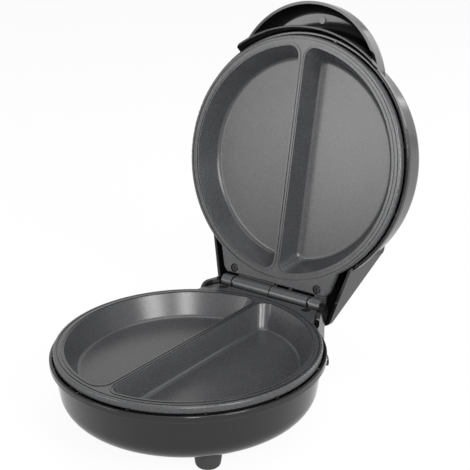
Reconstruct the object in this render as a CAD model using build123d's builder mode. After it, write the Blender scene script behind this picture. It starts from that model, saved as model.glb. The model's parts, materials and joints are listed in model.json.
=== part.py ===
from build123d import *
from math import acos, atan2, cos, degrees, radians, sin, sqrt
import os

# Electric omelette maker, standing open: two half-moon pans in round moulded housings on one hinge.
# Everything is in millimetres.  Z is up, X is to the right, and the hinge is at the back (+Y).
# Each housing is drawn from the cooking face of its plate: local x right, y to the hinge, z out of it.

# ---- cooking plates: the two castings are the same, one of them turned over
plate_r = 98.0
plate_edge_h = 4.5
plate_edge_t = 3.0
plate_edge_round = 1.3
plate_t = 2.5
well_flange_w = 8.0
well_wall_run = 8.5
well_depth = 18.0
well_corner_r = 8.5
well_floor_corner_r = 7.0
well_floor_round = 3.5
ridge_w = 5.6
ridge_foot_w = 17.0
bead_w = 1.1
bead_h = 0.5
groove_inset = 2.8
groove_w = 0.9
groove_d = 0.5
plate_gap = 2.0

# the tab at the back of each plate: how far it spreads past the barrels, and lies in or out from the edge
tab_root_spread = 8.5
tab_root_in = 0.75
tab_side_spread = 3.5
tab_side_in = 1.5
tab_end_out = 3.0
tab_screw_x = 40.0
tab_screw_in = 1.8
tab_pad_r = 4.6

# ---- hinge, its axis a little way out from the edge of the plate
hinge_out = 9.8
barrel_r = 5.5
barrel_half = 47.5
knuckle_w = 9.5
knuckle_gap = 0.8
clip_gap = 2.5
clip_r = 4.2
clip_t = 1.0
clip_mouth = 3.0
neck_t = 3.2
pin_r = 2.0
pin_clearance = 0.05
pin_end_gap = 0.4
open_angle = 101.2

# ---- housings, which stand clear of the plate all round
rim_gap = 3.0
rim_drop = 5.5
rim_h = 4.5
step_h = 2.0
wall_in = 3.5
wall_taper = 4.6
wall_t = 2.0
housing_corner_r = 17.0
rim_round = 0.8
base_room = 26.0
lid_extra = 3.5
rib_count = 10
rib_clear_angle = 1.9083  # in degrees, from the corner of the tail to the end ribs
rib_t = 2.0
rib_inset = 0.2
seat_gap = 0.1

# posts under each plate that plug into sockets of its housing
peg_x = 14.0
peg_in = 26.0
peg_r = 3.5
peg_end_gap = 6.5
peg_clearance = 0.1
socket_hold = 4.0
socket_wall = 1.8

# rear block of the base, with an ear at each end of the hinge: how far it spreads past the barrels,
# and where it lies from the hinge's axis
block_root_spread = 12.5
block_root_before = 27.8
block_end_spread = 5.0
block_end_before = 2.8
block_corner_r = 3.0
block_low_r = 12.0
ear_top = 3.5
ear_low = -12.0
ear_front_before = 20.3
ear_back_after = 3.2
ear_front_round = 7.5
ear_back_round = 4.5
ear_clearance = 0.8
lead_slot_w = 16.0
lead_slot_h = 5.0
lead_slot_drop = 16.0

# tail of the lid, which hides the hinge from above, swings down behind the base and spreads past the block
tail_root_spread = 9.0
tail_root_before = 41.8
tail_end_spread = 0.7
tail_end_after = 16.2
tail_corner_r = 6.0
tail_low = 5.0
tail_end_z = 10.2
tail_edge_round = 4.0
tail_dip = 0.5

# ---- visor handle on the front of the lid
visor_in = 43.0
visor_r = 66.5
visor_low = 10.0
visor_high = 27.6
visor_crown = 36.0
visor_round = 9.5
visor_wall = 2.2
guard_out = 4.5
guard_t = 2.0
guard_web_t = 1.8
guard_bend_z = 9.5
guard_round = 0.7
guard_clearance = 0.4
guard_end_gap = 0.5
hook_angle = 17.0
hook_w = 9.0
hook_h = 3.0
hook_z = 15.0
hook_lip = 1.2
gate_stub_r = 2.8
gate_stub_h = 1.0
gate_stub_out = 53.0
guard_web_top = 19.5
hook_window_gap = 0.3
hook_in = 6.6

# ---- feet, the front pair spread wide and the back pair under the rear block
foot_h = 14.5
foot_top_r = 10.5
foot_low_r = 8.6
foot_round = 3.2
foot_front_x = 53.0
foot_front_in = 46.4
foot_back_x = 41.0
foot_back_before = 21.3
foot_stem_r = 3.0
foot_barb_r = 4.0
foot_barb_h = 2.0
foot_fit = 0.1

# ---- heating
element_in = 29.5
element_tube_r = 3.2
element_leg_x = 12.0
element_leg_before = 31.8
element_bend_r = 10.0
element_pin_r = 1.2
element_pin_len = 6.0
clamp_w = 12.0
clamp_t = 1.2
clamp_overhang = 8.0
clamp_post_in = 16.0
clamp_post_r = 3.5
shield_in = 13.0
shield_t = 0.8
shield_rim_h = 6.0
shield_rise = 13.5
shield_post_x = 28.0
shield_post_in = 23.0
shield_notch_w = 44.0
sensor_x = 24.0
sensor_in = 34.0
sensor_r = 8.0
sensor_h = 6.5
sensor_post_in = 19.0
sensor_strap_w = 8.0
sensor_strap_t = 0.8
blade_w = 6.3
blade_t = 0.8
blade_len = 4.5
fuse_r = 2.0
fuse_len = 22.0
fuse_in = 36.0
fuse_lead_r = 0.6
fuse_lead_len = 6.0
fuse_clip_w = 8.0
fuse_clip_t = 1.0

# ---- small screws
screw_r = 1.5
screw_head_r = 3.0
screw_head_h = 1.6
screw_head_round = 0.5
screw_len = 10.0
screw_pocket_r = 3.6
screw_pocket_h = 1.9
screw_fit = 0.05
cross_w = 0.8
cross_d = 0.7
short_screw_len = 5.0

# ---- mains entry, terminals and lamps
gland_angle = 46.0
gland_drop = 25.0
gland_r = 4.25
gland_bore_r = 3.0
gland_out = 4.2
gland_collar_r = 5.6
gland_collar_t = 1.6
gland_flange_r = 5.2
gland_flange_t = 1.0
gland_fit = 0.1
cord_clamp_in = 22.9
cord_clamp_len = 26.0
cord_clamp_w = 8.0
cord_clamp_t = 3.0
cord_clamp_post_h = 4.0
cord_clamp_post_r = 3.4
cord_clamp_pitch = 18.0
terminal_w = 34.0
terminal_l = 13.0
terminal_h = 9.0
terminal_before = 18.8
terminal_pitch = 8.0
terminal_ways = 4
terminal_hole_r = 1.6
terminal_corner_r = 1.5
terminal_peg_h = 1.0
wire_r = 1.1
wire_bend = 2.5
wire_dip = 3.0
wire_side = 6.0
wire_out = 3.8
wire_roof = 9.0
lens_x = 11.0
lens_in = 19.9
lens_r = 4.5
lens_stem_r = 3.6
lens_rise = 1.2
lens_round = 0.9
lens_stem_h = 3.4
lens_fit = 0.1
lamp_r = 2.9
lamp_len = 8.0
holder_t = 1.5
holder_w = 12.0
holder_post_r = 2.5
holder_post_x = 20.0
holder_l = 50.0
holder_gap = 0.2

# ---- sizes and places worked out from the ones above
well_r = plate_r - well_flange_w
well_floor_r = well_r - well_wall_run
groove_r = plate_r - groove_inset
tab_root_x = barrel_half + tab_root_spread
tab_side_x = barrel_half + tab_side_spread
tab_root_y = sqrt((plate_r - tab_root_in) ** 2 - tab_root_x**2)
tab_side_y = plate_r - tab_side_in
tab_end_x = barrel_half
tab_end_y = plate_r + tab_end_out
tab_screw_y = plate_r - tab_screw_in
hinge_y = plate_r + hinge_out
rim_r = plate_r + rim_gap
wall_top_r = rim_r - wall_in
wall_low_r = wall_top_r - wall_taper
base_depth = well_depth + plate_t + base_room
lid_depth = base_depth + lid_extra
peg_y = peg_in - plate_r
peg_len = base_depth - peg_end_gap
socket_len = peg_len - socket_hold
block_root_x = barrel_half + block_root_spread
block_end_x = barrel_half + block_end_spread
block_root_y = hinge_y - block_root_before
block_end_y = hinge_y - block_end_before
ear_front_y = hinge_y - ear_front_before
ear_back_y = hinge_y + ear_back_after
tail_root_x = block_root_x + tail_root_spread
tail_end_x = block_end_x + tail_end_spread
tail_root_y = hinge_y - tail_root_before
rib_start = 180 - degrees(acos(tail_root_x / rim_r)) + rib_clear_angle
rib_sweep = 540 - 2 * rib_start
tail_end_y = hinge_y + tail_end_after
visor_y = visor_in - rim_r
guard_r = rim_r + guard_out
gate_stub_y = visor_y - gate_stub_out
hook_reach = rim_r - hook_in
foot_front_y = foot_front_in - wall_low_r
foot_back_y = hinge_y - foot_back_before
element_r = well_floor_r - element_in
element_leg_end = hinge_y - element_leg_before
sensor_y = sensor_in - element_r
sensor_post_y = sensor_post_in - element_r
fuse_y = fuse_in - element_r
clamp_post_x = element_r - clamp_post_in
shield_r = plate_r - shield_in
shield_drop = base_depth - shield_rise
shield_post_y = shield_r - shield_post_in
gland_end_r = rim_r + gland_out
cord_clamp_at = wall_low_r - cord_clamp_in
terminal_y = hinge_y - terminal_before
lens_y = lens_in - (wall_low_r - housing_corner_r)
cook_z = foot_h + base_depth
hinge_z = plate_gap / 2
floor_z = well_depth + plate_t
turn_cos = cos(radians(open_angle))
turn_sin = sin(radians(open_angle))
lid_back_y = -(wall_low_r - housing_corner_r) - hinge_y
lid_back_z = plate_gap + lid_depth - housing_corner_r - hinge_z
open_reach = hinge_y + lid_back_y * turn_cos + lid_back_z * turn_sin + housing_corner_r
base_y = (rim_r - open_reach) / 2

base_face = Plane((0, base_y, cook_z))
lid_level = Plane(
    base_face.from_local_coords(
        (
            0,
            hinge_y - hinge_y * turn_cos - hinge_z * turn_sin,
            hinge_z + hinge_y * turn_sin - hinge_z * turn_cos,
        )
    ),
    x_dir=(1, 0, 0),
    z_dir=(0, turn_sin, turn_cos),
)
lid_face = Plane(
    lid_level.from_local_coords((0, 0, plate_gap)),
    x_dir=(-1, 0, 0),
    z_dir=-lid_level.z_dir,
)


def upright(face):
    """Plane through the axis of a face: local x is the radius, local y the height."""
    return Plane(face.origin, x_dir=face.x_dir, z_dir=-face.y_dir)


def lengthways(face):
    """Plane down the middle of a face: local x runs to the hinge, local y is the height."""
    return Plane(face.origin, x_dir=face.y_dir, z_dir=face.x_dir)


def height(face):
    return Axis(face.origin, face.z_dir)


def at(face, x, y, z=0.0):
    """The face's plane moved to a local point."""
    return Plane(face.from_local_coords((x, y, z)), x_dir=face.x_dir, z_dir=face.z_dir)


def mirrored(outline):
    """Half an outline, points to the right of the middle, and its mirror image."""
    return outline + [(-x, y) for x, y in reversed(outline)]


os.makedirs("parts", exist_ok=True)


def save(piece, name):
    piece.part.label = name
    export_step(piece.part, f"parts/{name}.step")


# ---------------------------------------------------------------- cooking plates


def tab_outline(grow=0.0):
    return mirrored(
        [
            (tab_root_x + grow, tab_root_y),
            (tab_side_x + grow, tab_side_y),
            (tab_end_x + grow, tab_end_y + grow),
        ]
    )


def half_moon(side, radius, half_ridge, corner):
    """One half-moon outline, to the right (side 1) or left (side -1) of the ridge."""
    reach = sqrt(radius**2 - half_ridge**2)
    with BuildSketch() as moon:
        with BuildLine():
            Line((side * half_ridge, -reach), (side * half_ridge, reach))
            ThreePointArc((side * half_ridge, reach), (side * radius, 0), (side * half_ridge, -reach))
        make_face()
        fillet(moon.vertices(), corner)
    return moon.sketch


def half_moon_pan(face, side, margin, floor_round):
    """The space of one well, or the metal round it when margin is the plate's thickness."""
    mouth = half_moon(side, well_r + margin, ridge_w / 2 - margin, well_corner_r + margin)
    floor = half_moon(side, well_floor_r + margin, ridge_foot_w / 2 - margin, well_floor_corner_r + margin)
    with BuildPart() as pan:
        with BuildSketch(face):
            add(mouth)
        with BuildSketch(face.offset(-well_depth - margin)):
            add(floor)
        loft(ruled=True)
        fillet(pan.faces().sort_by(height(face))[0].edges(), floor_round)
    return pan.part


def knuckles(face, start, width):
    """One barrel of the hinge, with the neck that carries it from the tab."""
    neck_low = hinge_z - barrel_r
    with BuildPart() as knuckle:
        with BuildSketch(lengthways(face).offset(start)):
            with Locations((hinge_y, hinge_z)):
                Circle(barrel_r)
            with BuildLine():
                Polyline(
                    (tab_end_y - plate_edge_t, -plate_edge_h),
                    (hinge_y, neck_low),
                    (hinge_y, neck_low + neck_t),
                    (tab_end_y - plate_edge_t, -plate_edge_h + neck_t),
                    close=True,
                )
            make_face()
            with Locations((hinge_y, hinge_z)):
                Circle(pin_r + pin_clearance, mode=Mode.SUBTRACT)
        extrude(amount=width)
    return knuckle.part


long_knuckle_w = barrel_half - knuckle_w - clip_gap - knuckle_gap / 2
strap_drop = floor_z + 2 * element_tube_r + 2 * seat_gap
sensor_drop = floor_z + 2 * fuse_r + 2 * seat_gap
shield_posts = [
    (shield_post_x, shield_post_y),
    (-shield_post_x, shield_post_y),
    (shield_post_x, -shield_post_y),
    (-shield_post_x, -shield_post_y),
]
screwed_posts = [
    (clamp_post_x, 0, clamp_post_r, strap_drop),
    (-clamp_post_x, 0, clamp_post_r, strap_drop),
    (sensor_x, sensor_post_y, clamp_post_r, sensor_drop),
    (-sensor_x, sensor_post_y, clamp_post_r, sensor_drop),
] + [(x, y, clamp_post_r, shield_drop) for x, y in shield_posts]
posts = screwed_posts + [(peg_x, peg_y, peg_r, peg_len), (-peg_x, peg_y, peg_r, peg_len)]


def cooking_plate(face):
    hulls = [half_moon_pan(face, side, plate_t, well_floor_round + plate_t) for side in (1, -1)]
    wells = [half_moon_pan(face, side, 0.0, well_floor_round) for side in (1, -1)]
    long_knuckle = knuckles(face, knuckle_gap / 2, long_knuckle_w)
    short_knuckle = knuckles(face, -barrel_half, knuckle_w)
    bead_outer = [
        half_moon(side, well_r + 2 * bead_w, ridge_w / 2 - 2 * bead_w, well_corner_r + 2 * bead_w)
        for side in (1, -1)
    ]
    bead_inner = [
        half_moon(side, well_r + bead_w, ridge_w / 2 - bead_w, well_corner_r + bead_w) for side in (1, -1)
    ]
    tab_screws = [(tab_screw_x, tab_screw_y), (-tab_screw_x, tab_screw_y)]
    with BuildPart() as plate:
        # the flat of the plate with its tab and turned-down edge
        with BuildSketch(face) as outline:
            with BuildLine():
                Polyline(*tab_outline(), close=True)
            make_face()
            fillet(outline.vertices().group_by(Axis.Y)[1:], plate_edge_t)
            Circle(plate_r)
        extrude(amount=-plate_edge_h)
        fillet(plate.faces().sort_by(height(face))[-1].outer_wire().edges(), plate_edge_round)
        with BuildSketch(face.offset(-plate_edge_h)):
            with BuildLine():
                Polyline(*tab_outline(-plate_edge_t), close=True)
            make_face()
            Circle(plate_r - plate_edge_t)
        extrude(amount=plate_edge_h - plate_t, mode=Mode.SUBTRACT)
        # pads for the two screws of the tab, and the barrels of the hinge
        with BuildSketch(face.offset(-plate_edge_h)):
            with Locations(*tab_screws):
                Circle(tab_pad_r)
        extrude(amount=plate_edge_h - plate_t)
        add([long_knuckle, short_knuckle])
        # the metal of the wells and the posts under their floors, then the wells themselves
        add(hulls)
        for x, y, radius, reach in posts:
            with BuildSketch(face.offset(-reach)):
                with Locations((x, y)):
                    Circle(radius)
            extrude(amount=reach - well_depth)
        add(wells, mode=Mode.SUBTRACT)
        # a raised bead round each well, and a fine groove inside the rim
        for outer, inner in zip(bead_outer, bead_inner):
            with BuildSketch(face):
                add(outer)
                add(inner, mode=Mode.SUBTRACT)
            extrude(amount=bead_h)
        with BuildSketch(face):
            Circle(groove_r + groove_w / 2)
            Circle(groove_r - groove_w / 2, mode=Mode.SUBTRACT)
        extrude(amount=-groove_d, mode=Mode.SUBTRACT)
        # screw holes in the tab and in the posts
        with BuildSketch(face):
            with Locations(*tab_screws):
                Circle(screw_r + screw_fit)
        extrude(amount=-plate_edge_h, mode=Mode.SUBTRACT)
        with BuildSketch(face):
            with Locations(*tab_screws):
                Circle(screw_pocket_r)
        extrude(amount=-screw_pocket_h, mode=Mode.SUBTRACT)
        for x, y, _, reach in screwed_posts:
            with BuildSketch(face.offset(-reach)):
                with Locations((x, y)):
                    Circle(screw_r + screw_fit)
            extrude(amount=short_screw_len, mode=Mode.SUBTRACT)
    return plate


# ---------------------------------------------------------------- housings


def bowl(face, depth, inset):
    """The round of a housing from its cooking face down, or its inside when inset by the wall."""
    top = -rim_drop if inset == 0 else plate_edge_h
    low = -depth + inset
    with BuildPart() as form:
        with BuildSketch(upright(face)) as section:
            with BuildLine():
                Polyline(
                    (0, top),
                    (rim_r - inset, top),
                    (rim_r - inset, -rim_drop - rim_h),
                    (wall_top_r - inset, -rim_drop - rim_h - step_h),
                    (wall_low_r - inset, low),
                    (0, low),
                    close=True,
                )
            make_face()
            corner = section.vertices().sort_by(Axis.Y)[0:2].sort_by(Axis.X)[-1]
            fillet(corner, housing_corner_r - inset)
            if inset == 0:
                fillet(section.vertices().sort_by(Axis.X)[-2:], rim_round)
        revolve(axis=height(face))
    return form.part


def rear_block(face, inset):
    """The block behind the base that carries the back of the plate, or its inside."""
    outline = mirrored([(block_root_x - inset, 0), (block_root_x - inset, block_root_y),
                        (block_end_x - inset, block_end_y - inset)])
    with BuildPart() as form:
        with BuildSketch(face.offset(-base_depth + inset)) as plan:
            with BuildLine():
                Polyline(*outline, close=True)
            make_face()
            fillet(plan.vertices().group_by(Axis.Y)[-1], block_corner_r - inset / 2)
        extrude(amount=base_depth - rim_drop - 2 * inset)
        with BuildSketch(lengthways(face).offset(-rim_r)) as side:
            with BuildLine():
                Polyline(
                    (0, -rim_drop),
                    (block_end_y, -rim_drop),
                    (block_end_y, -base_depth),
                    (0, -base_depth),
                    close=True,
                )
            make_face()
            fillet(side.vertices().group_by(Axis.X)[-1].sort_by(Axis.Y)[0], block_low_r)
            if inset > 0:
                offset(amount=-inset)
        extrude(amount=2 * rim_r, mode=Mode.INTERSECT)
    return form.part


def ear(face):
    """The lug at the right-hand end of the hinge."""
    slope = (block_root_x - block_end_x) / (block_end_y - block_root_y)
    inner_x = barrel_half + ear_clearance
    outer_back_x = block_end_x - slope * (ear_back_y - block_end_y)
    with BuildPart() as lug:
        with BuildSketch(face.offset(ear_low)):
            with BuildLine():
                Polyline(
                    (tab_side_x + ear_clearance + slope * (tab_side_y - ear_front_y), ear_front_y),
                    (tab_side_x + ear_clearance, tab_side_y),
                    (inner_x, tab_end_y),
                    (inner_x, ear_back_y),
                    (outer_back_x, ear_back_y),
                    (block_root_x - slope * (ear_front_y - block_root_y), ear_front_y),
                    close=True,
                )
            make_face()
        extrude(amount=ear_top - ear_low)
        with BuildSketch(lengthways(face)) as side:
            with BuildLine():
                Polyline(
                    (ear_front_y, ear_low),
                    (ear_front_y, ear_top),
                    (ear_back_y, ear_top),
                    (ear_back_y, -rim_drop),
                    (block_end_y, ear_low),
                    close=True,
                )
            make_face()
            crown = side.vertices().group_by(Axis.Y)[-1].sort_by(Axis.X)
            fillet(crown[0], ear_front_round)
            fillet(side.vertices().group_by(Axis.Y)[-1].sort_by(Axis.X)[-1], ear_back_round)
        extrude(amount=rim_r, mode=Mode.INTERSECT)
    return lug.part


def seat_ribs(face):
    """Ribs inside the rim that the edge of the plate rests on, all round but the back."""
    inner = plate_r - plate_edge_t + rib_inset
    outer = rim_r - wall_t + rib_inset
    low = rim_drop + rim_h + step_h / 2
    with BuildPart() as ribs:
        with BuildSketch(face.offset(-low)):
            with PolarLocations((inner + outer) / 2, rib_count, rib_start, rib_sweep, endpoint=True):
                Rectangle(outer - inner, rib_t)
        extrude(amount=low - plate_edge_h)
    return ribs.part


def sockets(face, depth):
    with BuildPart() as tubes:
        with BuildSketch(face.offset(-depth + wall_t / 2)):
            with Locations((peg_x, peg_y), (-peg_x, peg_y)):
                Circle(peg_r + peg_clearance + socket_wall)
                Circle(peg_r + peg_clearance, mode=Mode.SUBTRACT)
        extrude(amount=depth - wall_t / 2 - socket_len)
    return tubes.part


def screw_bosses(face, reach):
    """Bosses under the tab of the plate, from its pads down to the housing."""
    with BuildPart() as bosses:
        with BuildSketch(face.offset(-reach)):
            with Locations((tab_screw_x, tab_screw_y), (-tab_screw_x, tab_screw_y)):
                Circle(tab_pad_r)
        extrude(amount=reach - plate_edge_h)
    return bosses.part


def screw_pilots(face):
    with BuildPart() as pilots:
        with BuildSketch(face.offset(-plate_edge_h)):
            with Locations((tab_screw_x, tab_screw_y), (-tab_screw_x, tab_screw_y)):
                Circle(screw_r + screw_fit)
        extrude(amount=-screw_len)
    return pilots.part


def rotated_at(plane, x, y):
    """The upright plane through a local point of a level plane."""
    return upright(at(plane, x, y))


def visor(inset):
    """The visor handle, a shallow cap centred on the front of the lid, or its inside."""
    low = visor_low - inset
    with BuildPart() as form:
        with BuildSketch(rotated_at(lid_level, 0, visor_y)) as section:
            with BuildLine():
                Polyline(
                    (0, low),
                    (visor_r - inset, low),
                    (visor_r - inset, visor_high - inset),
                    (0, visor_crown - inset),
                    close=True,
                )
            make_face()
            fillet(section.vertices().sort_by(Axis.X)[-2:].sort_by(Axis.Y)[-1], visor_round - inset)
        revolve(axis=height(at(lid_level, 0, visor_y)))
    return form.part


def tail(inset):
    """The tail of the lid over the hinge, or its inside."""
    crown = plate_gap + lid_depth - tail_dip
    slope = (crown - tail_end_z) / (tail_end_y - tail_root_y)
    drop = inset * sqrt(1 + slope**2)
    low = tail_low - inset
    outline = mirrored([(tail_root_x - inset, 0), (tail_root_x - inset, tail_root_y),
                        (tail_end_x - inset, tail_end_y - inset)])
    with BuildPart() as form:
        with BuildSketch(lid_level.offset(low)) as plan:
            with BuildLine():
                Polyline(*outline, close=True)
            make_face()
            fillet(plan.vertices().group_by(Axis.Y)[-1], tail_corner_r - inset)
        extrude(amount=crown - low)
        with BuildSketch(lengthways(lid_level).offset(-rim_r)):
            with BuildLine():
                Polyline(
                    (0, low),
                    (tail_end_y, low),
                    (tail_end_y, tail_end_z - drop),
                    (tail_root_y, crown - drop),
                    (0, crown - drop),
                    close=True,
                )
            make_face()
        extrude(amount=2 * rim_r, mode=Mode.INTERSECT)
        if inset == 0:
            roof_way = Axis(lid_level.origin, lid_level.y_dir * slope + lid_level.z_dir)
            fillet(form.faces().sort_by(roof_way)[-1].edges(), tail_edge_round)
    return form.part


# ---------------------------------------------------------------- small repeated pieces


def screws(seat, places, shank):
    """Cross-head screws whose heads stand on the plane seat, pointing along its normal."""
    with BuildPart() as group:
        with BuildSketch(seat):
            with Locations(*places):
                Circle(screw_head_r)
        extrude(amount=screw_head_h)
        fillet(group.edges().group_by(height(seat))[-1], screw_head_round)
        with BuildSketch(seat):
            with Locations(*places):
                Circle(screw_r)
        extrude(amount=-shank)
        with BuildSketch(seat.offset(screw_head_h)):
            with Locations(*places):
                Rectangle(screw_head_r, cross_w)
                Rectangle(cross_w, screw_head_r)
        extrude(amount=-cross_d, mode=Mode.SUBTRACT)
    return group


def under(face, drop):
    """A plane under a face that looks away from it: local x is turned round, local y is not."""
    return Plane(face.offset(-drop).origin, x_dir=-face.x_dir, z_dir=-face.z_dir)


def wire(face, points):
    """An insulated wire along points of a face's frame."""
    route = [face.from_local_coords(p) for p in points]
    with BuildPart() as lead:
        with BuildLine() as path:
            FilletPolyline(*route, radius=wire_bend)
        with BuildSketch(Plane(path.line @ 0, z_dir=path.line % 0)):
            Circle(wire_r)
        sweep(path=path.line)
    return lead.part


def heating_element(face):
    """A tube bent to a ring under the wells, with two legs to the back."""
    level = face.offset(-floor_z - element_tube_r - seat_gap)
    reach = element_r + element_bend_r
    bend_x = element_leg_x + element_bend_r
    bend_y = sqrt(reach**2 - bend_x**2)
    touch_x = bend_x * element_r / reach
    touch_y = bend_y * element_r / reach
    half_bend = atan2(bend_y, bend_x) / 2
    mid_x = bend_x - element_bend_r * cos(half_bend)
    mid_y = bend_y - element_bend_r * sin(half_bend)
    with BuildPart() as element:
        with BuildLine(level) as path:
            Line((element_leg_x, element_leg_end), (element_leg_x, bend_y))
            ThreePointArc((element_leg_x, bend_y), (mid_x, mid_y), (touch_x, touch_y))
            ThreePointArc((touch_x, touch_y), (0, -element_r), (-touch_x, touch_y))
            ThreePointArc((-touch_x, touch_y), (-mid_x, mid_y), (-element_leg_x, bend_y))
            Line((-element_leg_x, bend_y), (-element_leg_x, element_leg_end))
        with BuildSketch(Plane(path.line @ 0, z_dir=path.line % 0)):
            Circle(element_tube_r)
        sweep(path=path.line)
        pins = Plane(level.from_local_coords((0, element_leg_end)), x_dir=level.x_dir, z_dir=level.y_dir)
        with BuildSketch(pins):
            with Locations((element_leg_x, 0), (-element_leg_x, 0)):
                Circle(element_pin_r)
        extrude(amount=element_pin_len)
    return element


def element_clamp(face):
    """The steel strap that holds the ring up against the plate."""
    with BuildPart() as strap:
        with BuildSketch(face.offset(-strap_drop)):
            SlotOverall(2 * (element_r + clamp_overhang), clamp_w)
            with Locations((clamp_post_x, 0), (-clamp_post_x, 0)):
                Circle(screw_r + screw_fit, mode=Mode.SUBTRACT)
        extrude(amount=-clamp_t)
    return strap


def heat_shield(face):
    """The aluminium pan under the ring, open at the back for the legs and wires."""
    low = -shield_drop - shield_t
    with BuildPart() as shield:
        with BuildSketch(upright(face)) as section:
            with BuildLine():
                Polyline(
                    (0, low),
                    (shield_r, low),
                    (shield_r, low + shield_rim_h),
                    (shield_r - shield_t, low + shield_rim_h),
                    (shield_r - shield_t, -shield_drop),
                    (0, -shield_drop),
                    close=True,
                )
            make_face()
        revolve(axis=height(face))
        with BuildSketch(face.offset(low)):
            with Locations((0, shield_r)):
                Rectangle(shield_notch_w, 2 * shield_rim_h)
            with Locations((peg_x, peg_y), (-peg_x, peg_y)):
                Circle(peg_r + shield_t)
            with Locations(*shield_posts):
                Circle(screw_r + screw_fit)
        extrude(amount=shield_rim_h, mode=Mode.SUBTRACT)
    return shield


# ---------------------------------------------------------------- the base

base_outer = bowl(base_face, base_depth, 0.0)
base_inner = bowl(base_face, base_depth, wall_t)
block_outer = rear_block(base_face, 0.0)
block_inner = rear_block(base_face, wall_t)
right_ear = ear(base_face)
base_ribs = seat_ribs(base_face)
base_sockets = sockets(base_face, base_depth)
base_bosses = screw_bosses(base_face, rim_drop + screw_len + wall_t)
base_pilots = screw_pilots(base_face)
base_floor = base_depth - wall_t
foot_places = [
    (foot_front_x, foot_front_y),
    (-foot_front_x, foot_front_y),
    (foot_back_x, foot_back_y),
    (-foot_back_x, foot_back_y),
]
gland_plane = Plane(
    base_face.from_local_coords((0, 0, -gland_drop)),
    x_dir=(-sin(radians(gland_angle)), cos(radians(gland_angle)), 0),
    z_dir=(cos(radians(gland_angle)), sin(radians(gland_angle)), 0),
)
wall_slope = (wall_top_r - wall_low_r) / (base_depth - rim_drop - rim_h - step_h)
gland_wall_r = wall_top_r - wall_slope * (gland_drop - rim_drop - rim_h - step_h)
gland_lean = wall_slope * gland_collar_r + gland_fit
gland_inner_r = gland_wall_r - wall_t - gland_lean - gland_collar_r**2 / (2 * wall_low_r)
clamp_face = Plane(
    base_face.from_local_coords(
        (cord_clamp_at * cos(radians(gland_angle)), cord_clamp_at * sin(radians(gland_angle)), -base_floor)
    ),
    x_dir=gland_plane.x_dir,
    z_dir=(0, 0, 1),
)
cord_clamp_places = [(cord_clamp_pitch / 2, 0), (-cord_clamp_pitch / 2, 0)]
terminal_top = base_floor - terminal_peg_h - terminal_h

with BuildPart() as base_housing:
    add([base_outer, block_outer])
    add([base_inner, block_inner], mode=Mode.SUBTRACT)
    add([right_ear, base_ribs, base_sockets, base_bosses])
    mirror(right_ear, about=Plane.YZ)
    add(base_pilots, mode=Mode.SUBTRACT)
    # posts for the cord clamp and pads for the terminal block
    with BuildSketch(clamp_face):
        with Locations(*cord_clamp_places):
            Circle(cord_clamp_post_r)
    extrude(amount=cord_clamp_post_h)
    with BuildSketch(clamp_face.offset(cord_clamp_post_h)):
        with Locations(*cord_clamp_places):
            Circle(screw_r + screw_fit)
    extrude(amount=-cord_clamp_post_h, mode=Mode.SUBTRACT)
    with BuildSketch(base_face.offset(-base_floor)):
        with Locations((terminal_pitch, terminal_y), (-terminal_pitch, terminal_y)):
            Circle(cord_clamp_post_r)
    extrude(amount=terminal_peg_h)
    # holes for the feet, the cord and the lead that goes up to the lid
    with BuildSketch(base_face.offset(-base_depth)):
        with Locations(*foot_places):
            Circle(foot_stem_r + foot_fit)
    extrude(amount=wall_t, mode=Mode.SUBTRACT)
    with BuildSketch(gland_plane.offset(gland_wall_r - 2 * wall_t)):
        Circle(gland_r + gland_fit)
    extrude(amount=3 * wall_t, mode=Mode.SUBTRACT)
    back = Plane(
        base_face.from_local_coords((0, block_end_y, -lead_slot_drop)), x_dir=(1, 0, 0), z_dir=(0, -1, 0)
    )
    with BuildSketch(back):
        SlotOverall(lead_slot_w, lead_slot_h)
    extrude(amount=wall_t, mode=Mode.SUBTRACT)
save(base_housing, "base_housing")

# rubber feet, each pushed through the floor by its barbed stem
with BuildPart() as one_foot:
    with BuildSketch(Plane.XZ) as section:
        with BuildLine():
            Polyline(
                (0, 0),
                (foot_low_r, 0),
                (foot_top_r, foot_h),
                (foot_stem_r, foot_h),
                (foot_stem_r, foot_h + wall_t + foot_fit),
                (foot_barb_r, foot_h + wall_t + foot_fit),
                (foot_stem_r, foot_h + wall_t + foot_fit + foot_barb_h),
                (0, foot_h + wall_t + foot_fit + foot_barb_h),
                close=True,
            )
        make_face()
        fillet(section.vertices().group_by(Axis.Y)[0].sort_by(Axis.X)[-1], foot_round)
    revolve(axis=Axis.Z)
with BuildPart() as feet:
    with Locations(*[(x, base_y + y) for x, y in foot_places]):
        add(one_foot.part)
save(feet, "feet")

lower_plate = cooking_plate(base_face)
save(lower_plate, "lower_plate")
tab_screw_places = [(tab_screw_x, tab_screw_y), (-tab_screw_x, tab_screw_y)]
lower_plate_screws = screws(base_face.offset(-screw_pocket_h), tab_screw_places, screw_len)
save(lower_plate_screws, "lower_plate_screws")

lower_element = heating_element(base_face)
save(lower_element, "lower_heating_element")
lower_clamp = element_clamp(base_face)
save(lower_clamp, "lower_element_clamp")
clamp_screw_places = [(clamp_post_x, 0), (-clamp_post_x, 0)]
lower_clamp_screws = screws(under(base_face, strap_drop + clamp_t), clamp_screw_places, short_screw_len)
save(lower_clamp_screws, "lower_clamp_screws")
lower_shield = heat_shield(base_face)
save(lower_shield, "lower_heat_shield")
lower_shield_screws = screws(under(base_face, shield_drop + shield_t), shield_posts, short_screw_len)
save(lower_shield_screws, "lower_shield_screws")

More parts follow.
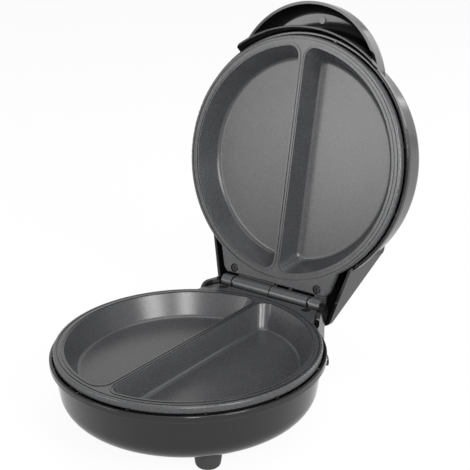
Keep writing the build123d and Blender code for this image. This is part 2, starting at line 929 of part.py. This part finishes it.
# the thermostat hangs under the right-hand well by its strap
with BuildPart() as thermostat:
    with BuildSketch(base_face.offset(-floor_z - seat_gap)):
        with Locations((sensor_x, sensor_y)):
            Circle(sensor_r)
    extrude(amount=-sensor_h)
    with BuildSketch(base_face.offset(-sensor_drop)):
        with Locations((sensor_x, (sensor_y + sensor_post_y) / 2)):
            SlotOverall(sensor_y - sensor_post_y + sensor_strap_w, sensor_strap_w, rotation=90)
        with Locations((sensor_x, sensor_post_y)):
            Circle(screw_r + screw_fit, mode=Mode.SUBTRACT)
    extrude(amount=-sensor_strap_t)
    with BuildSketch(base_face.offset(-floor_z - seat_gap - sensor_h)):
        with Locations((sensor_x - sensor_r / 2, sensor_y), (sensor_x + sensor_r / 2, sensor_y)):
            Rectangle(blade_t, blade_w)
    extrude(amount=-blade_len)
save(thermostat, "thermostat")
thermostat_screw = screws(
    under(base_face, sensor_drop + sensor_strap_t), [(-sensor_x, sensor_post_y)], short_screw_len
)
save(thermostat_screw, "thermostat_screw")

# hinge pin between the ears, with a clip in each gap between the barrels
with BuildPart() as hinge_pin:
    with BuildSketch(lengthways(base_face).offset(-barrel_half - ear_clearance + pin_end_gap)):
        with Locations((hinge_y, hinge_z)):
            Circle(pin_r)
    extrude(amount=2 * (barrel_half + ear_clearance - pin_end_gap))
save(hinge_pin, "hinge_pin")
with BuildPart() as hinge_clips:
    for middle in (barrel_half - knuckle_w - clip_gap / 2, -barrel_half + knuckle_w + clip_gap / 2):
        with BuildSketch(lengthways(base_face).offset(middle - clip_t / 2)):
            with Locations((hinge_y, hinge_z)):
                Circle(clip_r)
                Circle(pin_r + pin_clearance, mode=Mode.SUBTRACT)
                with Locations((-clip_r, 0)):
                    Rectangle(2 * clip_r, clip_mouth, mode=Mode.SUBTRACT)
        extrude(amount=clip_t)
save(hinge_clips, "hinge_pin_clips")

# the short stub that the mains cord comes out of
with BuildPart() as cord_gland:
    with BuildSketch(gland_plane.offset(gland_inner_r - gland_collar_t)):
        Circle(gland_collar_r)
    extrude(amount=gland_collar_t)
    with BuildSketch(gland_plane.offset(gland_inner_r - gland_collar_t)):
        Circle(gland_r)
    extrude(amount=gland_end_r - gland_inner_r + gland_collar_t)
    fillet(cord_gland.edges().group_by(height(gland_plane))[-1], gland_flange_t / 2)
    with BuildSketch(gland_plane.offset(gland_wall_r + gland_lean)):
        Circle(gland_flange_r)
    extrude(amount=gland_flange_t)
    with BuildSketch(gland_plane):
        Circle(gland_bore_r)
    extrude(amount=gland_end_r, mode=Mode.SUBTRACT)
save(cord_gland, "cord_gland")

with BuildPart() as cord_clamp:
    with BuildSketch(clamp_face.offset(cord_clamp_post_h)):
        SlotOverall(cord_clamp_len, cord_clamp_w)
        with Locations(*cord_clamp_places):
            Circle(screw_r + screw_fit, mode=Mode.SUBTRACT)
    extrude(amount=cord_clamp_t)
save(cord_clamp, "cord_clamp")
cord_clamp_screws = screws(
    clamp_face.offset(cord_clamp_post_h + cord_clamp_t), cord_clamp_places, short_screw_len
)
save(cord_clamp_screws, "cord_clamp_screws")

first_way_x = -terminal_pitch * (terminal_ways - 1) / 2
terminal_places = [(first_way_x + k * terminal_pitch, terminal_y) for k in range(terminal_ways)]
with BuildPart() as terminal_block:
    with BuildSketch(base_face.offset(-terminal_top - terminal_h)):
        with Locations((0, terminal_y)):
            RectangleRounded(terminal_w, terminal_l, terminal_corner_r)
    extrude(amount=terminal_h)
    with BuildSketch(base_face.offset(-terminal_top)):
        with Locations(*terminal_places):
            Circle(terminal_hole_r)
    extrude(amount=-terminal_h / 2, mode=Mode.SUBTRACT)
save(terminal_block, "terminal_block")

# wires of the base: two from the ring, two from the thermostat and two to the lid
pin_end_y = element_leg_end + element_pin_len
leg_drop = floor_z + element_tube_r + seat_gap
wire_drop = shield_drop - 2 * wire_r - seat_gap
blade_end_y = sensor_y + blade_w / 2 + seat_gap
way_x = terminal_pitch / 2
base_routes = [
    [
        (side * element_leg_x, pin_end_y, -leg_drop),
        (side * 3 * way_x, terminal_y, -leg_drop),
        (side * 3 * way_x, terminal_y, -terminal_top - wire_dip),
    ]
    for side in (1, -1)
]
base_routes += [
    [
        (sensor_x - sensor_r / 2, blade_end_y, -wire_drop),
        (sensor_x - sensor_r / 2 - wire_side, element_r, -wire_drop),
        (-way_x, terminal_y, -wire_drop),
        (-way_x, terminal_y, -terminal_top - wire_dip),
    ],
    [
        (sensor_x + sensor_r / 2, blade_end_y, -wire_drop),
        (sensor_x - wire_side, shield_post_y, -wire_drop),
        (way_x, terminal_y, -wire_drop),
        (way_x, terminal_y, -terminal_top - wire_dip),
    ],
]
block_mid = base_floor - terminal_peg_h - terminal_h / 2
block_back_y = terminal_y + terminal_l / 2
base_routes += [
    [
        (side * way_x, block_back_y + seat_gap, -block_mid),
        (side * way_x, block_back_y + wire_out, -block_mid),
        (side * way_x, block_back_y + wire_out, -lead_slot_drop),
        (side * way_x, block_end_y, -lead_slot_drop),
    ]
    for side in (1, -1)
]
base_wires = [wire(base_face, route) for route in base_routes]
with BuildPart() as base_wiring:
    add(base_wires)
save(base_wiring, "base_wiring")

# ---------------------------------------------------------------- the lid

lid_outer = bowl(lid_face, lid_depth, 0.0)
lid_inner = bowl(lid_face, lid_depth, wall_t)
tail_outer = tail(0.0)
tail_inner = tail(wall_t)
visor_outer = visor(0.0)
visor_inner = visor(visor_wall)
lid_ribs = seat_ribs(lid_face)
lid_sockets = sockets(lid_face, lid_depth)
lid_roof = plate_gap + lid_depth
with BuildPart() as visor_hollow:
    add(visor_inner)
    add(lid_outer, mode=Mode.SUBTRACT)
tail_slope = (lid_roof - tail_dip - tail_end_z) / (tail_end_y - tail_root_y)
boss_top = lid_roof - tail_dip - tail_slope * (tab_screw_y + tab_pad_r - tail_root_y)
lid_bosses = screw_bosses(lid_face, boss_top - plate_gap - wall_t / 2)
lid_pilots = screw_pilots(lid_face)
lens_places = [(lens_x, lens_y), (-lens_x, lens_y)]
holder_places = [(holder_post_x, lens_y), (-holder_post_x, lens_y)]
holder_top = lid_roof - lens_stem_h - holder_gap - lamp_len
stub_reach = visor_r - (visor_y - gate_stub_y)
stub_roof = visor_high + (visor_crown - visor_high) * stub_reach / visor_r - visor_wall

with BuildPart() as lid_housing:
    add([lid_outer, tail_outer, visor_outer])
    add([lid_inner, tail_inner, visor_hollow.part], mode=Mode.SUBTRACT)
    add([lid_ribs, lid_sockets, lid_bosses])
    add(lid_pilots, mode=Mode.SUBTRACT)
    # the small moulded stub on the roof of the handle
    with BuildSketch(lid_level.offset(stub_roof - gate_stub_h)):
        with Locations((0, gate_stub_y)):
            Circle(gate_stub_r)
    extrude(amount=gate_stub_h + visor_wall / 2)
    # holes for the two lamp lenses, and posts for the lamp holder
    with BuildSketch(lid_level.offset(lid_roof - wall_t)):
        with Locations(*lens_places):
            Circle(lens_stem_r + lens_fit)
    extrude(amount=wall_t, mode=Mode.SUBTRACT)
    with BuildSketch(lid_level.offset(holder_top)):
        with Locations(*holder_places):
            Circle(holder_post_r)
    extrude(amount=lid_roof - wall_t / 2 - holder_top)
    with BuildSketch(lid_level.offset(holder_top)):
        with Locations(*holder_places):
            Circle(screw_r + screw_fit)
    extrude(amount=short_screw_len, mode=Mode.SUBTRACT)
    # windows for the hooks of the handle guard
    with BuildSketch(lid_level.offset(hook_z - hook_window_gap)):
        with PolarLocations((hook_reach + rim_r) / 2, 2, -90 - hook_angle, 2 * hook_angle, endpoint=True):
            Rectangle(rim_r - hook_reach, hook_w + 2 * hook_window_gap)
    extrude(amount=hook_h + hook_lip + 2 * hook_window_gap, mode=Mode.SUBTRACT)
save(lid_housing, "lid_housing")

# the guard under the handle: a flared lip at the front, and a wall that hooks into the lid
guard_x = rim_r + guard_clearance
with BuildPart() as guard_lip:
    with BuildSketch(upright(lid_level)) as section:
        with BuildLine():
            Polyline(
                (guard_x, guard_bend_z),
                (guard_r - guard_t, plate_gap),
                (guard_r, plate_gap),
                (guard_x + guard_web_t, guard_bend_z),
                close=True,
            )
        make_face()
        fillet(section.vertices().group_by(Axis.Y)[0], guard_round)
    revolve(axis=height(lid_level))
    with BuildSketch(lid_level):
        with Locations((0, visor_y)):
            Circle(visor_r + guard_end_gap)
    extrude(amount=visor_low, mode=Mode.INTERSECT)
with BuildPart() as handle_guard:
    add(guard_lip)
    with BuildSketch(lid_level.offset(guard_bend_z)):
        Circle(guard_x + guard_web_t)
        Circle(guard_x, mode=Mode.SUBTRACT)
        with Locations((0, visor_y)):
            Circle(visor_r - visor_wall - guard_clearance, mode=Mode.INTERSECT)
    extrude(amount=guard_web_top - guard_bend_z)
    with BuildSketch(lid_level.offset(hook_z)):
        with PolarLocations((hook_reach + guard_x) / 2, 2, -90 - hook_angle, 2 * hook_angle, endpoint=True):
            Rectangle(guard_x - hook_reach + guard_clearance, hook_w)
    extrude(amount=hook_h)
    with BuildSketch(lid_level.offset(hook_z)):
        with PolarLocations(hook_reach, 2, -90 - hook_angle, 2 * hook_angle, endpoint=True):
            Rectangle(hook_lip, hook_w)
    extrude(amount=hook_h + hook_lip)
save(handle_guard, "handle_guard")

upper_plate = cooking_plate(lid_face)
save(upper_plate, "upper_plate")
upper_plate_screws = screws(lid_face.offset(-screw_pocket_h), tab_screw_places, screw_len)
save(upper_plate_screws, "upper_plate_screws")
upper_element = heating_element(lid_face)
save(upper_element, "upper_heating_element")
upper_clamp = element_clamp(lid_face)
save(upper_clamp, "upper_element_clamp")
upper_clamp_screws = screws(under(lid_face, strap_drop + clamp_t), clamp_screw_places, short_screw_len)
save(upper_clamp_screws, "upper_clamp_screws")
upper_shield = heat_shield(lid_face)
save(upper_shield, "upper_heat_shield")
upper_shield_screws = screws(under(lid_face, shield_drop + shield_t), shield_posts, short_screw_len)
save(upper_shield_screws, "upper_shield_screws")

# thermal fuse under a clip
with BuildPart() as thermal_fuse:
    middle = lid_face.from_local_coords((-sensor_x, fuse_y, -floor_z - seat_gap - fuse_r))
    with BuildSketch(Plane(middle, x_dir=lid_face.y_dir, z_dir=lid_face.x_dir)):
        Circle(fuse_r)
    extrude(amount=fuse_len / 2, both=True)
    with BuildSketch(Plane(middle, x_dir=lid_face.y_dir, z_dir=lid_face.x_dir)):
        Circle(fuse_lead_r)
    extrude(amount=fuse_len / 2 + fuse_lead_len, both=True)
save(thermal_fuse, "thermal_fuse")
with BuildPart() as fuse_clip:
    with BuildSketch(lid_face.offset(-sensor_drop)):
        with Locations((-sensor_x, (fuse_y + sensor_post_y) / 2)):
            SlotOverall(fuse_y - sensor_post_y + 2 * fuse_clip_w, fuse_clip_w, rotation=90)
        with Locations((-sensor_x, sensor_post_y)):
            Circle(screw_r + screw_fit, mode=Mode.SUBTRACT)
    extrude(amount=-fuse_clip_t)
save(fuse_clip, "fuse_clip")
fuse_clip_screw = screws(
    under(lid_face, sensor_drop + fuse_clip_t), [(sensor_x, sensor_post_y)], short_screw_len
)
save(fuse_clip_screw, "fuse_clip_screw")

# power and ready lamps on top of the lid
for lens_at, lens_name in zip(lens_places, ("power_lamp_lens", "ready_lamp_lens")):
    with BuildPart() as lens:
        with BuildSketch(lid_level.offset(lid_roof)):
            with Locations(lens_at):
                Circle(lens_r)
        extrude(amount=lens_rise)
        fillet(lens.edges().group_by(height(lid_level))[-1], lens_round)
        with BuildSketch(lid_level.offset(lid_roof)):
            with Locations(lens_at):
                Circle(lens_stem_r)
        extrude(amount=-lens_stem_h)
    save(lens, lens_name)
with BuildPart() as lamp_holder:
    with BuildSketch(lid_level.offset(holder_top)):
        with Locations((0, lens_y)):
            SlotOverall(holder_l, holder_w)
        with Locations(*holder_places):
            Circle(screw_r + screw_fit, mode=Mode.SUBTRACT)
    extrude(amount=-holder_t)
save(lamp_holder, "lamp_holder")
holder_screws = screws(
    under(lid_level, -holder_top + holder_t), holder_places, short_screw_len
)
save(holder_screws, "lamp_holder_screws")
with BuildPart() as neon_lamps:
    with BuildSketch(lid_level.offset(holder_top)):
        with Locations(*lens_places):
            Circle(lamp_r)
    extrude(amount=lamp_len)
    fillet(neon_lamps.edges().group_by(height(lid_level))[-1], lamp_r / 2)
save(neon_lamps, "neon_lamps")

# wires of the lid: from the ring and from the fuse to the mouth of the tail, behind the hinge
mouth_y = (hinge_y + barrel_r + tail_end_y - wall_t) / 2
mouth_z = plate_gap - tail_low
lid_routes = [
    [
        (side * element_leg_x, pin_end_y, -leg_drop),
        (side * 3 * way_x, terminal_y, -leg_drop),
        (side * way_x, mouth_y, -wire_roof),
        (side * way_x, mouth_y, mouth_z),
    ]
    for side in (1, -1)
]
lid_wires = [wire(lid_face, route) for route in lid_routes]
with BuildPart() as lid_wiring:
    add(lid_wires)
save(lid_wiring, "lid_wiring")
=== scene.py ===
import json
from math import radians

import bpy
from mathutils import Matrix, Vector

# The looks of an electric omelette maker that stands open.
# Everything is in metres: Z is up, the front faces -Y, and Z = 0 is the table under the feet.

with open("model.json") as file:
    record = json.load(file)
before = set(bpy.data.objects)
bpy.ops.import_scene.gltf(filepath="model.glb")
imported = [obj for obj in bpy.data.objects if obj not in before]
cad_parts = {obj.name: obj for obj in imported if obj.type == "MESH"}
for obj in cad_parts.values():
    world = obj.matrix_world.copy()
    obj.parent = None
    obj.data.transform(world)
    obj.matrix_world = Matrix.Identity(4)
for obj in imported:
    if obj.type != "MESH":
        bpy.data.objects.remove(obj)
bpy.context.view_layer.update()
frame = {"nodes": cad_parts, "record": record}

# sockets of the node that mixes two colours, by their places in its list
colour_share = 0
colour_first = 6
colour_second = 7
colour_mixed = 2

# how much finer detail a noise adds to its blots
smooth = 1.0
soft = 2.0
crisp = 3.0

# rays that feel out how open a point of the surface lies
openness_rays = 8


class Signal:
    """What leaves one socket of a node tree, so that shader maths reads as plain expressions."""

    def __init__(self, tree, socket):
        self.tree = tree
        self.socket = socket

    def maths(self, operation, *values):
        sockets = dict(enumerate(values))
        return self.tree.node("ShaderNodeMath", {"operation": operation}, sockets, "Value")

    def __add__(self, other):
        return self.maths("ADD", self, other)

    def __radd__(self, other):
        return self.maths("ADD", other, self)

    def __sub__(self, other):
        return self.maths("SUBTRACT", self, other)

    def __rsub__(self, other):
        return self.maths("SUBTRACT", other, self)

    def __mul__(self, other):
        return self.maths("MULTIPLY", self, other)

    def __rmul__(self, other):
        return self.maths("MULTIPLY", other, self)

    def at_least(self, other):
        return self.maths("MAXIMUM", self, other)

    def ramp(self, low, high):
        """0 below low, 1 above high, and a smooth rise between them."""
        settings = {"interpolation_type": "SMOOTHSTEP"}
        sockets = {"Value": self, "From Min": low, "From Max": high}
        return self.tree.node("ShaderNodeMapRange", settings, sockets, "Result")


class Tree:
    """The nodes of a material or of the surroundings, with a method that adds any node to them."""

    def __init__(self, node_tree):
        self.nodes = node_tree.nodes
        self.links = node_tree.links

    def feed(self, socket, value):
        """Links a signal to a socket, or fills the socket with a plain value."""
        if isinstance(value, Signal):
            self.links.new(value.socket, socket)
        else:
            socket.default_value = value

    def node(self, kind, settings, sockets, output):
        """A node of one kind: its settings are set first, then its sockets are filled or linked."""
        made = self.nodes.new(kind)
        for name, value in settings.items():
            setattr(made, name, value)
        for name, value in sockets.items():
            self.feed(made.inputs[name], value)
        return Signal(self, made.outputs[output])

    def ray(self, kind):
        """1 for light rays of one kind, and 0 for the others."""
        return self.node("ShaderNodeLightPath", {}, {}, kind)


class Finish(Tree):
    """One material of the appliance or of the studio."""

    def __init__(self, name):
        self.material = bpy.data.materials.new(name)
        self.material.use_nodes = True
        super().__init__(self.material.node_tree)
        self.shader = self.nodes["Principled BSDF"]

    def noise(self, grain, detail):
        """A soft random pattern whose blots are about one grain across, in the piece's own metres."""
        place = self.node("ShaderNodeTexCoord", {}, {}, "Object")
        sockets = {"Vector": place, "Scale": 1 / grain, "Detail": detail}
        return self.node("ShaderNodeTexNoise", {}, sockets, "Fac")

    def blend(self, share, first, second):
        """The first colour where share is 0 and the second where it is 1."""
        sockets = {colour_share: share, colour_first: first, colour_second: second}
        return self.node("ShaderNodeMix", {"data_type": "RGBA"}, sockets, colour_mixed)

    def openness(self, reach):
        """1 on open surface, and less in the creases and gaps that are narrower than reach, in metres;
        the coating darkens by it as painted shade.
        """
        settings = {"samples": openness_rays, "only_local": False}
        return self.node("ShaderNodeAmbientOcclusion", settings, {"Distance": reach}, "AO")

    def relief(self, heights, depth):
        """A surface that stands up by depth metres where heights is 1."""
        sockets = {"Height": heights, "Distance": depth, "Strength": 1.0}
        return self.node("ShaderNodeBump", {}, sockets, "Normal")

    def wear(self, **looks):
        """Sets or links sockets of the main shader, which are written with _ for a space."""
        for name, value in looks.items():
            self.feed(self.shader.inputs[name.replace("_", " ")], value)
        return self.material


def grey(level):
    return (level, level, level, 1)


# ---- moulded black plastic of the housings and of the guard under the handle
wave_grain = 0.012
wave_depth = 0.00003
dust_grain = 0.0016
dust_tone = 0.15
polish = 0.09
dust_dulling = 0.05
plastic_mirror = 0.4


def gloss_plastic(name, level):
    """Black moulded plastic from a polished tool, with a trace of waviness and of dust in the gloss."""
    finish = Finish(name)
    waves = finish.noise(wave_grain, smooth)
    dust = finish.noise(dust_grain, crisp)
    return finish.wear(
        Base_Color=finish.blend(dust, grey(level * (1 - dust_tone)), grey(level * (1 + dust_tone))),
        Roughness=polish + dust_dulling * dust,
        Normal=finish.relief(waves, wave_depth),
        Specular_IOR_Level=plastic_mirror,
    )


# ---- non-stick coating of the plates: a share is how strongly a tone covers what lies under it
body_dark = (0.037, 0.038, 0.040, 1)
body_light = (0.048, 0.049, 0.051, 1)
cloud_grain = 0.02
cloud_dulling = 0.04
speckle_grain = 0.0006
speckle_depth = 0.00003
speckle_dulling = 0.12
fleck_range = (0.5, 0.7)
fleck_share = 0.4
fleck_tone = (0.1, 0.1, 0.103, 1)
fleck_metal = 0.1
pit_range = (0.34, 0.5)
pit_share = 0.35
pit_tone = (0.014, 0.014, 0.015, 1)
# painted shade: within this reach the coating's colour is darkened to near black in grooves, beads and
# gaps, where less light falls
groove_shade_reach = 0.0018
groove_shade_range = (0.45, 0.92)
groove_shade_share = 0.92
painted_groove_shade_tone = grey(0.004)
coating_gloss = 0.19


def coating():
    """Dark grey non-stick coating with fine light flecks over cast aluminium, and painted shade that
    darkens its grooves and gaps.
    """
    finish = Finish("non_stick_coating")
    speckle = finish.noise(speckle_grain, soft)
    clouds = finish.noise(cloud_grain, soft)
    flecks = speckle.ramp(*fleck_range)
    pits = 1 - speckle.ramp(*pit_range)
    # painted shade: 1 where the surface lies in a groove or gap and less light reaches it
    painted_groove_shade = 1 - finish.openness(groove_shade_reach).ramp(*groove_shade_range)
    body = finish.blend(clouds, body_dark, body_light)
    flecked = finish.blend(fleck_share * flecks, body, fleck_tone)
    pitted = finish.blend(pit_share * pits, flecked, pit_tone)
    return finish.wear(
        # painted shade darkens the coating's colour in its grooves and gaps
        Base_Color=finish.blend(groove_shade_share * painted_groove_shade, pitted, painted_groove_shade_tone),
        Roughness=coating_gloss + speckle_dulling * speckle + cloud_dulling * clouds,
        Metallic=fleck_metal * flecks,
        Normal=finish.relief(speckle, speckle_depth),
    )


# ---- the other finishes: soft rubber, metals, insulating plastics and clear pieces
rubber_grain = 0.0009
rubber_depth = 0.00004
rubber_dark = grey(0.014)
rubber_light = grey(0.026)
rubber_gloss = 0.55
rubber_dulling = 0.2
metal_dulling = 0.15
moulding_grain = 0.003
moulding_depth = 0.00002
moulding_dulling = 0.12
clear_grain = 0.004
clear_gloss = 0.08
clear_dulling = 0.06
clear_bending = 1.49


def rubber():
    """Matt black rubber of the feet."""
    finish = Finish("foot_rubber")
    grain = finish.noise(rubber_grain, crisp)
    return finish.wear(
        Base_Color=finish.blend(grain, rubber_dark, rubber_light),
        Roughness=rubber_gloss + rubber_dulling * grain,
        Normal=finish.relief(grain, rubber_depth),
    )


def metal(name, dark, light, gloss, grain, share=1.0):
    """Bare or plated metal between two tones, whose gloss varies from spot to spot."""
    finish = Finish(name)
    blots = finish.noise(grain, crisp)
    return finish.wear(
        Base_Color=finish.blend(blots, (*dark, 1), (*light, 1)),
        Roughness=gloss + metal_dulling * blots,
        Metallic=share,
    )


def dull_plastic(name, dark, light, gloss):
    """Moulded insulating plastic or silicone between two tones."""
    finish = Finish(name)
    blots = finish.noise(moulding_grain, crisp)
    return finish.wear(
        Base_Color=finish.blend(blots, (*dark, 1), (*light, 1)),
        Roughness=gloss + moulding_dulling * blots,
        Normal=finish.relief(blots, moulding_depth),
    )


def clear(name, pale, deep, share):
    """Clear or tinted glass or plastic that lets a share of the light through."""
    finish = Finish(name)
    blots = finish.noise(clear_grain, soft)
    return finish.wear(
        Base_Color=finish.blend(blots, (*pale, 1), (*deep, 1)),
        Roughness=clear_gloss + clear_dulling * blots,
        Transmission_Weight=share,
        IOR=clear_bending,
    )


finishes = {
    "housing": gloss_plastic("casing_plastic", level=0.0065),
    "guard": gloss_plastic("guard_plastic", level=0.0075),
    "foot": rubber(),
    "plate": coating(),
    "steel": metal(
        "plated_steel", dark=(0.16, 0.16, 0.165), light=(0.26, 0.26, 0.265), gloss=0.3, grain=0.002
    ),
    "screw": metal(
        "blackened_steel", dark=(0.012, 0.012, 0.013), light=(0.03, 0.03, 0.031), gloss=0.3, grain=0.001,
        share=0.6,
    ),
    "element": metal(
        "oxidised_tube", dark=(0.12, 0.11, 0.09), light=(0.25, 0.24, 0.22), gloss=0.4, grain=0.006
    ),
    "shield": metal(
        "bare_aluminium", dark=(0.66, 0.66, 0.67), light=(0.78, 0.78, 0.79), gloss=0.28, grain=0.01
    ),
    "ceramic": dull_plastic(
        "white_terminal_plastic", dark=(0.68, 0.66, 0.6), light=(0.8, 0.78, 0.73), gloss=0.4
    ),
    "wire": dull_plastic(
        "silicone_wire", dark=(0.5, 0.5, 0.47), light=(0.64, 0.64, 0.6), gloss=0.5
    ),
    "sensor": dull_plastic(
        "brown_moulding", dark=(0.07, 0.035, 0.018), light=(0.11, 0.06, 0.03), gloss=0.35
    ),
    "red_lens": clear(
        "red_lens", pale=(0.62, 0.03, 0.02), deep=(0.5, 0.015, 0.012), share=0.55
    ),
    "green_lens": clear(
        "green_lens", pale=(0.03, 0.42, 0.07), deep=(0.02, 0.32, 0.05), share=0.55
    ),
    "lamp": clear(
        "lamp_glass", pale=(0.9, 0.82, 0.72), deep=(0.84, 0.72, 0.6), share=0.8
    ),
}
for piece in frame["record"]["subparts"]:
    mesh = frame["nodes"][piece["node"]].data
    mesh.materials.clear()
    mesh.materials.append(finishes[piece["material_slot"]])


# ---- soft boxes, each facing the middle of the appliance
aim = Vector((0, 0, 0.12))


def soft_box(name, direction, distance, width, height, power):
    """A rectangular lamp that faces the appliance from one direction."""
    lamp = bpy.data.lights.new(name, "AREA")
    lamp.shape = "RECTANGLE"
    lamp.size = width
    lamp.size_y = height
    lamp.energy = power
    box = bpy.data.objects.new(name, lamp)
    box.location = aim + Vector(direction).normalized() * distance
    box.rotation_euler = (aim - box.location).to_track_quat("-Z", "Y").to_euler()
    bpy.context.collection.objects.link(box)


soft_box("front_soft_box", (-0.45, -0.89, 0.20), distance=1.8, width=0.66, height=0.6, power=8.5)
soft_box("top_soft_box", (0.05, 0.15, 1.0), distance=1.8, width=1.4, height=1.2, power=12)
soft_box("near_side_box", (0.64, -0.77, 0.55), distance=1.6, width=0.26, height=0.7, power=12)
soft_box("far_side_box", (0.96, -0.28, 0.50), distance=1.6, width=0.45, height=0.7, power=15)
soft_box("rear_soft_box", (0.35, 0.9, 0.35), distance=1.6, width=1.2, height=0.7, power=4.5)

# ---- floor paper, which looks white to the camera and still takes the appliance's shadow
floor_half = 4.0
paper_level = 0.9
paper_roughness = 0.9
white_seen = 0.93
white_mirrored = 0.6


def floor_paper():
    """Pale paper, with a share of plain white mixed in for the camera and for reflections."""
    paper = Finish("floor_paper")
    paper.wear(Base_Color=grey(paper_level), Roughness=paper_roughness)
    plain = Signal(paper, paper.shader.outputs["BSDF"])
    white = paper.node("ShaderNodeEmission", {}, {"Color": grey(1), "Strength": 1.0}, "Emission")
    seen = white_seen * paper.ray("Is Camera Ray")
    mirrored = white_mirrored * paper.ray("Is Glossy Ray")
    shares = {0: seen.at_least(mirrored), 1: plain, 2: white}
    mixed = paper.node("ShaderNodeMixShader", {}, shares, "Shader")
    paper.feed(paper.nodes["Material Output"].inputs["Surface"], mixed)
    return paper.material


def square(half):
    """The four corners of a level square round the origin."""
    return [(-half, -half, 0), (half, -half, 0), (half, half, 0), (-half, half, 0)]


floor_mesh = bpy.data.meshes.new("floor")
floor_mesh.from_pydata(square(floor_half), [], [(0, 1, 2, 3)])
floor_mesh.materials.append(floor_paper())
floor = bpy.data.objects.new("floor", floor_mesh)
bpy.context.collection.objects.link(floor)

# ---- surroundings: white wherever they show, and dimmer where they only light the appliance
ambient_level = 0.45

world = bpy.data.worlds.new("white_studio")
world.use_nodes = True
bpy.context.scene.world = world
sky = Tree(world.node_tree)
directly = sky.ray("Is Camera Ray")
in_metal = sky.ray("Is Glossy Ray")
through_glass = sky.ray("Is Transmission Ray")
shows = directly.at_least(in_metal).at_least(through_glass)
backdrop = sky.nodes["Background"]
sky.feed(backdrop.inputs["Color"], grey(1))
sky.feed(backdrop.inputs["Strength"], ambient_level + (1 - ambient_level) * shows)

# ---- camera at the photograph's viewing angle
film_width = 36
focal_length = 78.92
camera_place = (0.43097, -0.57468, 0.38938)
camera_drop = 19.90
camera_roll = 0.19
camera_turn = 36.27

scene = bpy.context.scene
scene.view_settings.view_transform = "Standard"
lens = bpy.data.cameras.new("camera")
lens.sensor_width = film_width
lens.lens = focal_length
camera = bpy.data.objects.new("camera", lens)
camera.location = camera_place
camera.rotation_euler = (radians(90 - camera_drop), radians(camera_roll), radians(camera_turn))
bpy.context.collection.objects.link(camera)
scene.camera = camera
